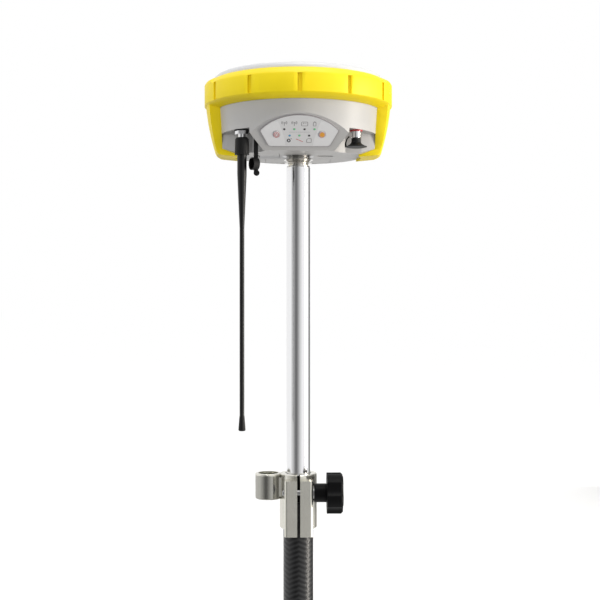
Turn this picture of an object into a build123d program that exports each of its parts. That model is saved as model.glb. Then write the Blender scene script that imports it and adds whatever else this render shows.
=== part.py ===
"""GNSS receiver on its telescopic pole, built sub-part by sub-part.

Frame: millimetres, +Z up, origin on the pole axis at the mouth of the lower coupling,
-Y is the front with the keypad, +X is the side of the clamp knob and of the data port.
"""
import os
from math import hypot, sqrt

from build123d import *

os.makedirs("parts", exist_ok=True)

INCH = 25.4
CLEAR = 0.3          # gap kept between pieces that move past each other
FIT = 0.05           # radial gap of a running fit

# ---- driving heights above the coupling mouth ----
POLE_TOP = 561.0     # top edge of the inner tube
BASE_Z = 572.0       # base plane of the receiver

# ---- pole ----
OUTER_TUBE_R = 1.25 * INCH / 2
OUTER_TUBE_BORE_R = 14.1
INNER_TUBE_R = 1.0 * INCH / 2
INNER_TUBE_BORE_R = 11.2
INNER_TUBE_BOTTOM = 155.0
STUD_R = 0.625 * INCH / 2          # 5/8 inch survey thread
STUD_LENGTH = 15.0
WASHER_Z = BASE_Z - 5.5            # underside of the washer below the receiver
COUPLING_DEPTH = 22.0              # depth of the lower 5/8 inch socket
COUPLING_TOP = 30.0

# ---- clamp ----
COLLAR_R = 19.8
COLLAR_BOTTOM, COLLAR_TOP = 179.0, 237.0
OUTER_TUBE_TOP = 208.0
EAR_HALF_WIDTH = 15.0
EAR_BOTTOM, EAR_TOP = 174.0, 232.0
EAR_FRONT = -28.0
SLOT_WIDTH = 3.2
SCREW_Y, SCREW_Z = -20.5, 219.0
SCREW_R = 3.0                      # M6
HUB_R = 9.75                       # knob hub
LINER_R = INNER_TUBE_R + 0.9        # split plastic sleeve between collar and inner tube
LINER_BELOW = 1.5                  # from the collar's top down to the sleeve
LEVEL_X = -31.8
LEVEL_R = 13.8
LEVEL_BOTTOM = 210.0

# ---- receiver, heights above its base plane ----
WALL = 3.0
FLOOR_R = 68.0
BODY_R = 86.8                      # body wall where the bumper grips it
BUMPER_R = 99.0
BUMPER_BOTTOM, BUMPER_TOP = 46.7, 76.7
SPLIT_H = 64.0                     # joint between lower housing and radome
DOME_TOP = 88.5
DOME_R = 668.0                     # the radome's roof is a shallow sphere
ROOF = 2.5                         # its thickness
FACET_FOOT = (-50.0, 0.0)          # (y, height) of the keypad facet's lower edge
FACET_HEAD = (-85.0, 33.0)         # (y, height) where the facet meets the wall
POCKET_H = 20.7                    # ceiling of the two connector pockets
PORT_X, PORT_Y = 58.0, -50.0       # axis of the data port; the whip is its mirror image


def finish(builder, label):
    """Name a finished sub-part and write its STEP file."""
    builder.part.label = label
    export_step(builder.part, f"parts/{label}.step")


def head(height):
    """Height above the receiver's base plane, as a Z of the whole model."""
    return BASE_Z + height


# =====================================================================
# Lower pole: coupling, carbon tube, clamp and circular level
# =====================================================================
with BuildPart() as end_coupling:
    Cylinder(OUTER_TUBE_BORE_R, COUPLING_TOP, align=(Align.CENTER, Align.CENTER, Align.MIN))
    with BuildSketch(Plane.XY):
        Circle(OUTER_TUBE_R)
    extrude(amount=4.0)
    chamfer(end_coupling.faces().sort_by(Axis.Z)[0].edges(), 1.0)
    with Locations(Plane.XY.rotated((180, 0, 0))):
        Hole(STUD_R, COUPLING_DEPTH)
finish(end_coupling, "end_coupling")

with BuildPart() as outer_tube:
    with BuildSketch(Plane.XY.offset(4.0)):
        Circle(OUTER_TUBE_R)
        Circle(OUTER_TUBE_BORE_R, mode=Mode.SUBTRACT)
    extrude(amount=OUTER_TUBE_TOP - 4.0)
finish(outer_tube, "outer_tube")

with BuildPart() as clamp_body:
    with BuildSketch(Plane.XY.offset(COLLAR_BOTTOM)):
        Circle(COLLAR_R)
    extrude(amount=COLLAR_TOP - COLLAR_BOTTOM)
    chamfer(clamp_body.faces().sort_by(Axis.Z)[0].edges(), 1.5)
    chamfer(clamp_body.faces().sort_by(Axis.Z)[-1].edges(), 0.8)
    with BuildSketch(Plane.XY.offset(EAR_BOTTOM)):
        with Locations((0, EAR_FRONT / 2)):
            Rectangle(2 * EAR_HALF_WIDTH, -EAR_FRONT)
    extrude(amount=EAR_TOP - EAR_BOTTOM)
    fillet(clamp_body.edges().filter_by(Axis.Z).group_by(Axis.Y)[0], 3.0)
    # bridge to the level cup
    with BuildSketch(Plane.XY.offset(LEVEL_BOTTOM + 3.0)):
        with Locations((-COLLAR_R, 0)):
            Rectangle(8.0, 16.0)
    extrude(amount=COLLAR_TOP - LEVEL_BOTTOM - 7.0)
    with BuildSketch(Plane.XY.offset(LEVEL_BOTTOM)):
        with Locations((LEVEL_X, 0)):
            Circle(LEVEL_R)
    extrude(amount=COLLAR_TOP - LEVEL_BOTTOM, mode=Mode.SUBTRACT)
    # bore: glued over the outer tube below, gripping the inner tube above
    with BuildSketch(Plane.XY.offset(EAR_BOTTOM)):
        Circle(OUTER_TUBE_R)
    extrude(amount=OUTER_TUBE_TOP - EAR_BOTTOM, mode=Mode.SUBTRACT)
    with BuildSketch(Plane.XY.offset(OUTER_TUBE_TOP)):
        Circle(LINER_R)
    extrude(amount=COLLAR_TOP - OUTER_TUBE_TOP, mode=Mode.SUBTRACT)
    # saw cut that lets the screw close the collar
    with BuildSketch(Plane.XY.offset(EAR_BOTTOM)):
        with Locations((0, -20.0)):
            Rectangle(SLOT_WIDTH, 20.0)
    extrude(amount=COLLAR_TOP - EAR_BOTTOM, mode=Mode.SUBTRACT)
    # screw hole through both ears, and the nut's pocket in the left one
    with BuildSketch(Plane.YZ.offset(-EAR_HALF_WIDTH)):
        with Locations((SCREW_Y, SCREW_Z)):
            Circle(SCREW_R + CLEAR)
    extrude(amount=2 * EAR_HALF_WIDTH, mode=Mode.SUBTRACT)
    with BuildSketch(Plane.YZ.offset(-EAR_HALF_WIDTH)):
        with Locations((SCREW_Y, SCREW_Z)):
            RegularPolygon(5.8, 6)
    extrude(amount=5.0, mode=Mode.SUBTRACT)
    # room for the knob's hub beside the collar
    with BuildSketch(Plane.YZ.offset(EAR_HALF_WIDTH)):
        with Locations((SCREW_Y, SCREW_Z)):
            Circle(HUB_R + 2 * CLEAR)
    extrude(amount=10.0, mode=Mode.SUBTRACT)
finish(clamp_body, "clamp_body")

with BuildPart() as clamp_liner:
    with BuildSketch(Plane.XY.offset(OUTER_TUBE_TOP)):
        Circle(LINER_R)
        Circle(INNER_TUBE_R + FIT, mode=Mode.SUBTRACT)
        with Locations((0, INNER_TUBE_R)):
            Rectangle(1.5, 4.0, mode=Mode.SUBTRACT)
    extrude(amount=COLLAR_TOP - LINER_BELOW - OUTER_TUBE_TOP)
finish(clamp_liner, "clamp_liner")

with BuildPart() as clamp_nut:
    with BuildSketch(Plane.YZ.offset(-EAR_HALF_WIDTH)):
        with Locations((SCREW_Y, SCREW_Z)):
            RegularPolygon(5.75, 6)
            Circle(SCREW_R + FIT, mode=Mode.SUBTRACT)
    extrude(amount=5.0)
finish(clamp_nut, "clamp_nut")

with BuildPart() as clamp_washer:
    with BuildSketch(Plane.YZ.offset(EAR_HALF_WIDTH)):
        with Locations((SCREW_Y, SCREW_Z)):
            Circle(6.0)
            Circle(SCREW_R + FIT, mode=Mode.SUBTRACT)
    extrude(amount=1.2)
finish(clamp_washer, "clamp_washer")

HUB_X = EAR_HALF_WIDTH + 1.2       # knob hub starts on the washer
KNOB_X = 29.3                      # back of the knob's head
KNOB_END = 46.0
KNOB_R = 21.5
KNOB_LOBES = 5

with BuildPart() as clamp_screw:
    with BuildSketch(Plane.YZ.offset(-EAR_HALF_WIDTH - 2.0)):
        with Locations((SCREW_Y, SCREW_Z)):
            Circle(SCREW_R)
    extrude(amount=KNOB_X + 6.0 + EAR_HALF_WIDTH)
    chamfer(clamp_screw.faces().sort_by(Axis.X)[0].edges(), 0.6)
finish(clamp_screw, "clamp_screw")

with BuildPart() as clamp_knob:
    with BuildSketch(Plane.YZ.offset(HUB_X)):
        with Locations((SCREW_Y, SCREW_Z)):
            Circle(HUB_R)
    extrude(amount=KNOB_X - HUB_X)
    with BuildSketch(Plane.YZ.offset(KNOB_X)):
        with Locations((SCREW_Y, SCREW_Z)):
            Circle(KNOB_R)
            with PolarLocations(KNOB_R + 6.5, KNOB_LOBES, start_angle=90):
                Circle(10.0, mode=Mode.SUBTRACT)
    extrude(amount=KNOB_END - KNOB_X)
    fillet(clamp_knob.edges().filter_by(Axis.X), 2.5)
    chamfer(clamp_knob.faces().sort_by(Axis.X)[-1].edges(), 2.0)
    with BuildSketch(Plane.YZ.offset(HUB_X)):
        with Locations((SCREW_Y, SCREW_Z)):
            Circle(SCREW_R)
    extrude(amount=KNOB_X + 4.0 - HUB_X, mode=Mode.SUBTRACT)
finish(clamp_knob, "clamp_knob")

with BuildPart() as level_housing:
    with BuildSketch(Plane.XY.offset(LEVEL_BOTTOM)):
        with Locations((LEVEL_X, 0)):
            Circle(LEVEL_R)
    extrude(amount=COLLAR_TOP - 2.0 - LEVEL_BOTTOM)
    chamfer(level_housing.faces().sort_by(Axis.Z)[0].edges(), 1.0)
    with BuildSketch(Plane.XY.offset(COLLAR_TOP - 11.0)):
        with Locations((LEVEL_X, 0)):
            Circle(11.5)
    extrude(amount=9.0, mode=Mode.SUBTRACT)
    with BuildSketch(Plane.XY.offset(LEVEL_BOTTOM)):
        with Locations((LEVEL_X, 0)):
            with PolarLocations(8.0, 3, start_angle=90):
                Circle(3.0)
    extrude(amount=4.0, mode=Mode.SUBTRACT)
finish(level_housing, "level_housing")

with BuildPart() as level_vial:
    with BuildSketch(Plane.XY.offset(COLLAR_TOP - 11.0)):
        with Locations((LEVEL_X, 0)):
            Circle(11.4)
    extrude(amount=8.5)
    fillet(level_vial.faces().sort_by(Axis.Z)[-1].edges(), 1.0)
finish(level_vial, "level_vial")

with BuildPart() as level_ring:
    with BuildSketch(Plane.XY.offset(COLLAR_TOP - 2.0)):
        with Locations((LEVEL_X, 0)):
            Circle(LEVEL_R)
            Circle(10.6, mode=Mode.SUBTRACT)
    extrude(amount=2.0)
    chamfer(level_ring.faces().sort_by(Axis.Z)[-1].edges().sort_by(SortBy.LENGTH)[-1], 0.6)
finish(level_ring, "level_ring")

with BuildPart() as level_screws:
    with BuildSketch(Plane.XY.offset(LEVEL_BOTTOM + 1.0)):
        with Locations((LEVEL_X, 0)):
            with PolarLocations(8.0, 3, start_angle=90):
                Circle(2.75)
    extrude(amount=3.0)
    with BuildSketch(Plane.XY.offset(LEVEL_BOTTOM + 1.0)):
        with Locations((LEVEL_X, 0)):
            with PolarLocations(8.0, 3, start_angle=90):
                RegularPolygon(1.4, 6)
    extrude(amount=1.6, mode=Mode.SUBTRACT)
finish(level_screws, "level_screws")

# =====================================================================
# Upper pole: sliding tube, guide bush and the stud adapter
# =====================================================================
with BuildPart() as inner_tube:
    with BuildSketch(Plane.XY.offset(INNER_TUBE_BOTTOM)):
        Circle(INNER_TUBE_R)
        Circle(INNER_TUBE_BORE_R, mode=Mode.SUBTRACT)
    extrude(amount=POLE_TOP - INNER_TUBE_BOTTOM)
    chamfer(inner_tube.faces().sort_by(Axis.Z)[-1].edges().sort_by(SortBy.LENGTH)[-1], 1.0)
finish(inner_tube, "inner_tube")

with BuildPart() as guide_bush:
    with BuildSketch(Plane.XY.offset(INNER_TUBE_BOTTOM)):
        Circle(OUTER_TUBE_BORE_R - FIT)
        Circle(INNER_TUBE_R, mode=Mode.SUBTRACT)
    extrude(amount=20.0)
finish(guide_bush, "guide_bush")

with BuildPart() as pole_adapter:
    with BuildSketch(Plane.XZ):
        with BuildLine():
            Polyline(
                (0, POLE_TOP - 20.0), (INNER_TUBE_BORE_R, POLE_TOP - 20.0), (INNER_TUBE_BORE_R, POLE_TOP),
                (12.2, POLE_TOP), (12.2, POLE_TOP + 0.8), (10.4, POLE_TOP + 1.6), (10.4, POLE_TOP + 2.3),
                (14.5, POLE_TOP + 3.9), (11.6, WASHER_Z), (STUD_R, WASHER_Z),
                (STUD_R, BASE_Z + STUD_LENGTH - 1.0), (STUD_R - 1.0, BASE_Z + STUD_LENGTH),
                (0, BASE_Z + STUD_LENGTH), (0, POLE_TOP - 20.0),
            )
        make_face()
    revolve(axis=Axis.Z)
finish(pole_adapter, "pole_adapter")

with BuildPart() as stud_washer:
    with BuildSketch(Plane.XZ):
        with BuildLine():
            Polyline(
                (STUD_R + FIT, WASHER_Z), (11.6, WASHER_Z), (15.5, WASHER_Z + 1.7), (12.0, BASE_Z),
                (STUD_R + FIT, BASE_Z), (STUD_R + FIT, WASHER_Z),
            )
        make_face()
    revolve(axis=Axis.Z)
finish(stud_washer, "stud_washer")

# =====================================================================
# Receiver: housing, radome and bumper
# =====================================================================
FACET_LENGTH = hypot(FACET_HEAD[0] - FACET_FOOT[0], FACET_HEAD[1] - FACET_FOOT[1])
RISE_Y = (FACET_HEAD[0] - FACET_FOOT[0]) / FACET_LENGTH      # one step up the facet, along Y
RISE_Z = (FACET_HEAD[1] - FACET_FOOT[1]) / FACET_LENGTH      # and along Z
FACET = Plane(origin=(0, FACET_FOOT[0], head(0)), x_dir=(1, 0, 0), z_dir=(0, -RISE_Z, RISE_Y))

# right-hand pocket in plan; the left one is its mirror image
POCKET_OUTLINE = [(34, -47), (51.5, -68.5), (64, -84), (100, -60), (100, -14),
                  (79, -22), (65, -28), (48, -31), (40, -38)]

INSERT_FLANGE_R = 17.0
INSERT_R = 12.0
INSERT_TOP = 18.0
BOSS_R = 18.5

BAY_X, BAY_Y0, BAY_Y1, BAY_TOP = 35.5, 20.5, 56.0, 24.0      # battery bay
DOOR_THICK = 2.2
PIN_R = 0.8
KNUCKLE_R = 1.6
PIN_H = 1.9                        # hinge pins of both doors, above the base plane
PIN_BEYOND = 2.2                   # from the edge of the opening to the pin
DOOR_BEYOND = 3.2                  # from the pin to the door's edge
BATTERY_PIN_Y = BAY_Y1 + PIN_BEYOND

CARD_X0, CARD_X1, CARD_Y0, CARD_Y1, CARD_TOP = -42.0, -20.0, -26.0, 7.0, 8.5
CARD_PIN_X = CARD_X0 - PIN_BEYOND
CARD_SLOT_X, CARD_SLOT_Y = -31.0, -11.0

COLUMN_R = 73.5                    # pitch radius of the housing screws
COLUMN_ANGLES = (0, 45, 90, 135, 180)
COLUMN_PLACES = [Location((0, 0, 0), (0, 0, angle)) * Location((COLUMN_R, 0, 0)) for angle in COLUMN_ANGLES]
BOARD_PLACES = [(56, 2), (-56, 2), (46, 40), (-46, 40)]
BOARD_H = 44.0                     # underside of the main board
BOARD_R = 66.0
PLATE_H = 62.0                     # underside of the antenna's ground plate

BUTTON_X, BUTTON_T = 22.9, 21.6    # button centres across and up the facet
BUTTON_SIZE = (6.6, 8.4)
UPPER_LED_X, UPPER_LED_T = (-15.1, -5.1, 5.1, 15.1), 28.0
LOWER_LED_X, LOWER_LED_T = (-9.75, 0.0, 9.75), 20.0
LED_PLACES = [(x, UPPER_LED_T) for x in UPPER_LED_X] + [(x, LOWER_LED_T) for x in LOWER_LED_X]
LED_R = 1.2
PANEL_THICK = 1.2


def body_form(inset, top):
    """The housing's outer form with every face moved inwards by inset."""
    foot_y, foot_z = FACET_FOOT[0] + inset * RISE_Z, head(-inset * RISE_Y)
    below, above = -30.0, FACET_LENGTH + 30.0
    with BuildPart() as form:
        with BuildSketch(Plane.XZ):
            with BuildLine():
                Polyline(
                    (0, head(inset)), (FLOOR_R - inset / 2, head(inset)), (82.0 - inset, head(5.5 + inset / 2)),
                    (86.5 - inset, head(BUMPER_BOTTOM)), (BODY_R - inset, head(BUMPER_BOTTOM)),
                    (BODY_R - inset, head(top)), (0, head(top)), close=True,
                )
            make_face()
        revolve(axis=Axis.Z)
        with BuildSketch(Plane.YZ.offset(-BUMPER_R)):
            with BuildLine():
                Polyline(
                    (foot_y + below * RISE_Y, foot_z + below * RISE_Z),
                    (foot_y + above * RISE_Y, foot_z + above * RISE_Z),
                    (-140, foot_z + above * RISE_Z), (-140, foot_z + below * RISE_Z), close=True,
                )
            make_face()
        extrude(amount=2 * BUMPER_R, mode=Mode.SUBTRACT)
        with BuildSketch(Plane.XY.offset(head(-5.0))):
            with BuildLine():
                Polyline(*POCKET_OUTLINE, close=True)
            make_face()
            fillet(vertices(), 2.5)
            if inset:
                offset(amount=inset)
            mirror(about=Plane.YZ)
        extrude(amount=5.0 + POCKET_H + inset, mode=Mode.SUBTRACT)
    return form.part


def dome_z(x, depth=0):
    """Z of the radome's spherical roof at x from the axis, depth below its outer face."""
    return head(DOME_TOP - DOME_R) + sqrt((DOME_R - depth) ** 2 - x ** 2)


outer_form = body_form(0, SPLIT_H)
inner_form = body_form(WALL, SPLIT_H + 1.0)

with BuildPart() as lower_housing:
    add(outer_form)
    add(inner_form, mode=Mode.SUBTRACT)
    # boss of the threaded insert, and the blocks around the battery and card bays
    with BuildSketch(Plane.XY.offset(head(WALL))):
        Circle(BOSS_R)
    extrude(amount=INSERT_TOP + 2.0 - WALL)
    with BuildSketch(Plane.XY.offset(head(WALL))):
        with Locations((0, (BAY_Y0 - 2 + BAY_Y1 + 7) / 2)):
            Rectangle(2 * BAY_X + 4, BAY_Y1 - BAY_Y0 + 9)
    extrude(amount=BAY_TOP + 2.0 - WALL)
    with BuildSketch(Plane.XY.offset(head(WALL))):
        with Locations(((CARD_X0 - 6 + CARD_X1 + 2) / 2, (CARD_Y0 + CARD_Y1) / 2)):
            Rectangle(CARD_X1 - CARD_X0 + 8, CARD_Y1 - CARD_Y0 + 4)
    extrude(amount=CARD_TOP + 1.5 - WALL)
    # posts for the main board and columns for the long housing screws
    with BuildSketch(Plane.XY.offset(head(WALL))):
        with Locations(*BOARD_PLACES):
            Circle(2.5)
    extrude(amount=BOARD_H - WALL)
    with BuildSketch(Plane.XY.offset(head(5.5))):
        with Locations(*COLUMN_PLACES):
            Circle(5.0)
    extrude(amount=SPLIT_H - 5.5)
    with BuildSketch(Plane.XY.offset(head(-1.0))):
        with Locations(*COLUMN_PLACES):
            Circle(3.2)
    extrude(amount=51.0, mode=Mode.SUBTRACT)
    with BuildSketch(Plane.XY.offset(head(50.0))):
        with Locations(*COLUMN_PLACES):
            Circle(1.6)
    extrude(amount=SPLIT_H - 50.0, mode=Mode.SUBTRACT)
    # seat of the threaded insert
    with BuildSketch(Plane.XY.offset(head(0))):
        Circle(INSERT_FLANGE_R)
    extrude(amount=3.0, mode=Mode.SUBTRACT)
    with BuildSketch(Plane.XY.offset(head(0))):
        Circle(INSERT_R)
    extrude(amount=INSERT_TOP, mode=Mode.SUBTRACT)
    with BuildSketch(Plane.XY.offset(head(0))):
        with PolarLocations(14.5, 4, start_angle=45):
            Circle(1.2)
    extrude(amount=10.0, mode=Mode.SUBTRACT)
    # battery bay with pockets for the door's two knuckles and a bore for its pin
    with BuildSketch(Plane.XY.offset(head(0))):
        with Locations((0, (BAY_Y0 + BAY_Y1) / 2)):
            Rectangle(2 * BAY_X, BAY_Y1 - BAY_Y0)
    extrude(amount=BAY_TOP, mode=Mode.SUBTRACT)
    with BuildSketch(Plane.XY.offset(head(0))):
        with Locations((-13, BATTERY_PIN_Y - 0.3), (13, BATTERY_PIN_Y - 0.3)):
            Rectangle(11, 6)
    extrude(amount=4.4, mode=Mode.SUBTRACT)
    with BuildSketch(Plane.YZ.offset(-21)):
        with Locations((BATTERY_PIN_Y, head(PIN_H))):
            Circle(PIN_R)
    extrude(amount=42, mode=Mode.SUBTRACT)
    # card bay, its knuckle pocket, pin bore and the slot the card passes through
    with BuildSketch(Plane.XY.offset(head(0))):
        with Locations(((CARD_X0 + CARD_X1) / 2, (CARD_Y0 + CARD_Y1) / 2)):
            Rectangle(CARD_X1 - CARD_X0, CARD_Y1 - CARD_Y0)
    extrude(amount=CARD_TOP, mode=Mode.SUBTRACT)
    with BuildSketch(Plane.XY.offset(head(0))):
        with Locations((CARD_PIN_X + 0.3, CARD_SLOT_Y)):
            Rectangle(6, 13)
    extrude(amount=4.4, mode=Mode.SUBTRACT)
    with BuildSketch(Plane.XZ.offset(-(CARD_SLOT_Y + 11))):
        with Locations((CARD_PIN_X, head(PIN_H))):
            Circle(PIN_R)
    extrude(amount=22, mode=Mode.SUBTRACT)
    with BuildSketch(Plane.XY.offset(head(CARD_TOP))):
        with Locations((CARD_SLOT_X, CARD_SLOT_Y)):
            Rectangle(3.0, 25.0)
    extrude(amount=2.0, mode=Mode.SUBTRACT)
    # finger recess beside the battery door
    with BuildSketch(Plane.XY.offset(head(0))):
        with Locations((28.0, -4.0)):
            SlotOverall(18.0, 8.0)
    extrude(amount=1.8, mode=Mode.SUBTRACT)
    # button stems, light pipes and the two connectors pass through the shell
    with BuildSketch(FACET.offset(1.0)):
        with Locations((-BUTTON_X, BUTTON_T), (BUTTON_X, BUTTON_T)):
            Circle(2.0)
        with Locations(*LED_PLACES):
            Circle(LED_R + 0.2)
    extrude(amount=-(WALL + 2.0), mode=Mode.SUBTRACT)
    with BuildSketch(Plane.XY.offset(head(POCKET_H))):
        with Locations((-PORT_X, PORT_Y), (PORT_X, PORT_Y)):
            Circle(4.0)
    extrude(amount=WALL, mode=Mode.SUBTRACT)
    # groove of the sealing ring
    with BuildSketch(Plane.XY.offset(head(SPLIT_H - 1.2))):
        Circle(BODY_R - 0.7)
        Circle(BODY_R - 2.3, mode=Mode.SUBTRACT)
    extrude(amount=1.2, mode=Mode.SUBTRACT)
finish(lower_housing, "lower_housing")

with BuildPart() as housing_seal:
    with BuildSketch(Plane.XY.offset(head(SPLIT_H - 1.2))):
        Circle(BODY_R - 0.7)
        Circle(BODY_R - 2.3, mode=Mode.SUBTRACT)
    extrude(amount=1.2)
finish(housing_seal, "housing_seal")

with BuildPart() as radome:
    with BuildSketch(Plane.XZ):
        with BuildLine():
            Line((0, dome_z(0, ROOF)), (0, dome_z(0)))
            ThreePointArc((0, dome_z(0)), (42.0, dome_z(42.0)), (84.0, dome_z(84.0)))
            ThreePointArc((84.0, dome_z(84.0)), (88.4, head(81.0)), (90.0, head(77.5)))
            Polyline(
                (90.0, head(77.5)), (90.0, head(BUMPER_TOP)), (BODY_R, head(BUMPER_TOP)), (BODY_R, head(SPLIT_H)),
                (84.0, head(SPLIT_H)), (84.0, head(78.0)), (81.0, dome_z(81.0, ROOF)),
            )
            ThreePointArc((81.0, dome_z(81.0, ROOF)), (42.0, dome_z(42.0, ROOF)), (0, dome_z(0, ROOF)))
        make_face()
    revolve(axis=Axis.Z)
    # lugs on the inside of the rim that take the housing screws
    with BuildSketch(Plane.XY.offset(head(SPLIT_H))):
        with Locations(*COLUMN_PLACES):
            Circle(4.0)
            Rectangle(11.5, 8.0, align=(Align.MIN, Align.CENTER))
            Circle(1.5, mode=Mode.SUBTRACT)
    extrude(amount=11.0)
finish(radome, "radome")

with BuildPart() as housing_screws:
    with BuildSketch(Plane.XY.offset(head(47.0))):
        with Locations(*COLUMN_PLACES):
            Circle(2.9)
    extrude(amount=3.0)
    with BuildSketch(Plane.XY.offset(head(50.0))):
        with Locations(*COLUMN_PLACES):
            Circle(1.5)
    extrude(amount=21.0)
    with BuildSketch(Plane.XY.offset(head(47.0))):
        with Locations(*COLUMN_PLACES):
            RegularPolygon(1.4, 6)
    extrude(amount=1.8, mode=Mode.SUBTRACT)
finish(housing_screws, "housing_screws")

GROOVES = 12
GROOVE_WIDTH, GROOVE_DEPTH = 4.5, 2.5

with BuildPart() as bumper_legs:
    with BuildSketch(Plane.XZ):
        with BuildLine():
            Polyline(
                (66.0, head(-2.6)), (66.0, head(0)), (FLOOR_R, head(0)), (82.0, head(5.5)),
                (86.5, head(BUMPER_BOTTOM)), (BODY_R, head(BUMPER_BOTTOM)), (BODY_R, head(54.0)), (97.7, head(54.0)),
            )
            ThreePointArc((97.7, head(54.0)), (94.4, head(30.0)), (87.7, head(3.0)))
            Spline((87.7, head(3.0)), (85.9, head(0)), (82.0, head(-1.0)), tangents=[(-0.3, -1), (-1, -0.1)])
            Line((82.0, head(-1.0)), (66.0, head(-2.6)))
        make_face()
    revolve(axis=Axis.Z)
    with BuildSketch(Plane.YZ.offset(-BUMPER_R)):
        with BuildLine():
            Polyline(
                (-21, head(-5)), (21, head(-5)), (21, head(6)), (27, head(28)), (32, head(56)),
                (-32, head(56)), (-27, head(28)), (-21, head(6)), close=True,
            )
        make_face()
    extrude(amount=2 * BUMPER_R, mode=Mode.INTERSECT)

with BuildPart() as bumper_shoulders:
    with BuildSketch(Plane.XZ):
        with BuildLine():
            Polyline((90.5, head(69)), (BUMPER_R, head(69)), (BUMPER_R, head(72.6)), (98.0, head(74.2)),
                     (92.0, head(77.3)), (90.5, head(77.3)), close=True)
        make_face()
    revolve(axis=Axis.Z)
    with BuildSketch(Plane.YZ.offset(-BUMPER_R)):
        with BuildLine():
            Polyline((-46, head(69)), (46, head(69)), (30, head(78)), (-30, head(78)), close=True)
        make_face()
    extrude(amount=2 * BUMPER_R, mode=Mode.INTERSECT)

with BuildPart() as bumper:
    with BuildSketch(Plane.XZ):
        with BuildLine():
            Polyline(
                (BODY_R, head(BUMPER_BOTTOM)), (88.0, head(BUMPER_BOTTOM)), (97.6, head(50.4)),
                (BUMPER_R, head(51.6)), (BUMPER_R, head(69.4)), (98.0, head(71.2)),
                (92.0, head(BUMPER_TOP)), (BODY_R, head(BUMPER_TOP)), close=True,
            )
        make_face()
    revolve(axis=Axis.Z)
    add(bumper_legs.part)
    add(bumper_shoulders.part)
    with BuildSketch(Plane.XY.offset(head(51.6))):
        with PolarLocations(BUMPER_R, GROOVES, start_angle=90):
            Rectangle(2 * GROOVE_DEPTH, GROOVE_WIDTH)
    extrude(amount=18.0, mode=Mode.SUBTRACT)
    # seat of the radome's rim above the bumper's top edge
    with BuildSketch(Plane.XY.offset(head(BUMPER_TOP))):
        Circle(90.5)
    extrude(amount=3.0, mode=Mode.SUBTRACT)
finish(bumper, "bumper")

# =====================================================================
# Receiver: threaded insert, battery and card bays
# =====================================================================
with BuildPart() as threaded_insert:
    with BuildSketch(Plane.XY.offset(head(0))):
        Circle(INSERT_FLANGE_R)
    extrude(amount=3.0)
    with BuildSketch(Plane.XY.offset(head(0))):
        Circle(INSERT_R)
    extrude(amount=INSERT_TOP)
    with BuildSketch(Plane.XY.offset(head(0))):
        Circle(STUD_R + FIT)
    extrude(amount=INSERT_TOP, mode=Mode.SUBTRACT)
    with BuildSketch(Plane.XY.offset(head(0))):
        with PolarLocations(14.5, 4, start_angle=45):
            Circle(2.0)
    extrude(amount=2.0, mode=Mode.SUBTRACT)
    with BuildSketch(Plane.XY.offset(head(0))):
        with PolarLocations(14.5, 4, start_angle=45):
            Circle(1.2)
    extrude(amount=3.0, mode=Mode.SUBTRACT)
finish(threaded_insert, "threaded_insert")

with BuildPart() as insert_screws:
    with BuildSketch(Plane.XY.offset(head(0.2))):
        with PolarLocations(14.5, 4, start_angle=45):
            Circle(1.9)
    extrude(amount=1.8)
    with BuildSketch(Plane.XY.offset(head(2.0))):
        with PolarLocations(14.5, 4, start_angle=45):
            Circle(1.15)
    extrude(amount=8.0)
    with BuildSketch(Plane.XY.offset(head(0.2))):
        with PolarLocations(14.5, 4, start_angle=45):
            RegularPolygon(1.0, 6)
    extrude(amount=1.0, mode=Mode.SUBTRACT)
finish(insert_screws, "insert_screws")

with BuildPart() as battery_pack:
    with BuildSketch(Plane.XY.offset(head(DOOR_THICK + 0.6))):
        with Locations((0, (BAY_Y0 + BAY_Y1) / 2)):
            Rectangle(2 * BAY_X - 2.5, BAY_Y1 - BAY_Y0 - 0.6)
    extrude(amount=BAY_TOP - DOOR_THICK - 1.6)
    fillet(battery_pack.edges().filter_by(Axis.X), 1.5)
finish(battery_pack, "battery_pack")

with BuildPart() as battery_contacts:
    with BuildSketch(Plane.XY.offset(head(12.0))):
        with Locations((BAY_X - 0.5, (BAY_Y0 + BAY_Y1) / 2)):
            with GridLocations(0, 6.0, 1, 4):
                Rectangle(1.0, 2.0)
    extrude(amount=8.0)
finish(battery_contacts, "battery_contacts")

with BuildPart() as battery_door:
    with BuildSketch(Plane.XY.offset(head(0))):
        door_y0, door_y1 = BAY_Y0 + CLEAR, BATTERY_PIN_Y - DOOR_BEYOND
        with Locations((0, (door_y0 + door_y1) / 2)):
            Rectangle(2 * (BAY_X - CLEAR), door_y1 - door_y0)
    extrude(amount=DOOR_THICK)
    fillet(battery_door.edges().filter_by(Axis.Z), 1.5)
    # arms that carry the knuckles
    with BuildSketch(Plane.XY.offset(head(PIN_H - 1.4))):
        with Locations((-13, BATTERY_PIN_Y - 2.5), (13, BATTERY_PIN_Y - 2.5)):
            Rectangle(10, 5.0)
    extrude(amount=DOOR_THICK - PIN_H + 1.4)
    with BuildSketch(Plane.YZ.offset(-18)):
        with Locations((BATTERY_PIN_Y, head(PIN_H))):
            Circle(KNUCKLE_R)
    extrude(amount=10)
    with BuildSketch(Plane.YZ.offset(8)):
        with Locations((BATTERY_PIN_Y, head(PIN_H))):
            Circle(KNUCKLE_R)
    extrude(amount=10)
    with BuildSketch(Plane.YZ.offset(-20)):
        with Locations((BATTERY_PIN_Y, head(PIN_H))):
            Circle(PIN_R + FIT)
    extrude(amount=40, mode=Mode.SUBTRACT)
    # finger notch along the opening edge
    with BuildSketch(Plane.XY.offset(head(0))):
        with Locations((0, door_y0 + 3.5)):
            SlotOverall(22.0, 4.0)
    extrude(amount=1.0, mode=Mode.SUBTRACT)
finish(battery_door, "battery_door")

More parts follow.
